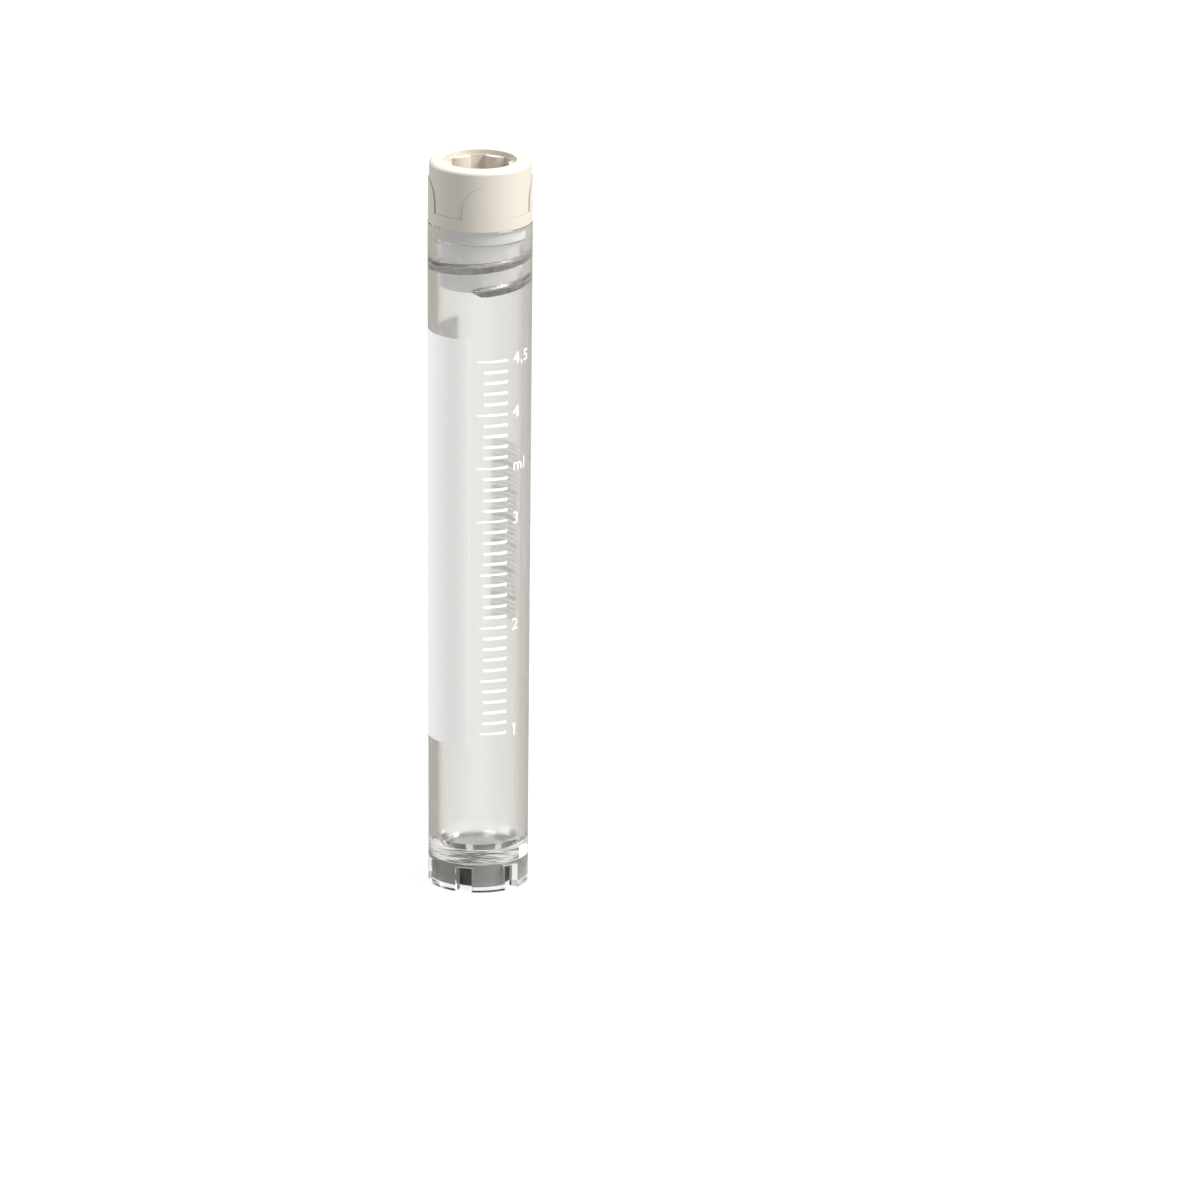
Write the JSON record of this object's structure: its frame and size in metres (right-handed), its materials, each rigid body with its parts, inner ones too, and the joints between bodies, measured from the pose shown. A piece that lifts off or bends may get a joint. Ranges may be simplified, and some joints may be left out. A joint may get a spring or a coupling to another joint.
{
  "type": "cryovial",
  "caption": "Slim clear cryovial with an internal thread, printed scale and writing panel, star foot with a code insert, and a lobed screw cap.",
  "frame": {"origin": "centre of the foot, on the plane that the teeth stand on", "axes": "+Z along the vial's axis towards the cap, -Y towards the front with the scale, +X to the right as seen from the front"},
  "size_m": [0.0124, 0.0124, 0.0893],
  "materials": {
    "clear_plastic": "clear colourless moulding, polished inside and out",
    "insert_plastic": "dark grey, satin moulded",
    "code_ink": "flat off-white print",
    "white_ink": "flat white print",
    "seal_silicone": "translucent pale grey silicone",
    "cap_plastic": "ivory, satin moulded"
  },
  "bodies": {
    "vial": {"tube": "clear_plastic", "code_insert": "insert_plastic", "code_patch": "code_ink", "writing_panel": "white_ink", "scale_marks": "white_ink", "bar_pattern": "white_ink"},
    "seal": {"seal_ring": "seal_silicone"},
    "cap": {"screw_cap": "cap_plastic"}
  },
  "joints": [
    {"name": "cap_lift", "type": "slide", "parent": "vial", "child": "seal", "axis": [0, 0, 1], "range_m": [0, 0.00876]},
    {"name": "cap_turn", "type": "hinge", "parent": "seal", "child": "cap", "pos_m": [0, 0, 0.0819], "axis": [0, 0, 1], "range_deg": [0, 1080]}
  ],
  "couplings": [
    {"joint": "cap_turn", "follows": "cap_lift", "rad_per_m": 2151.8}
  ]
}
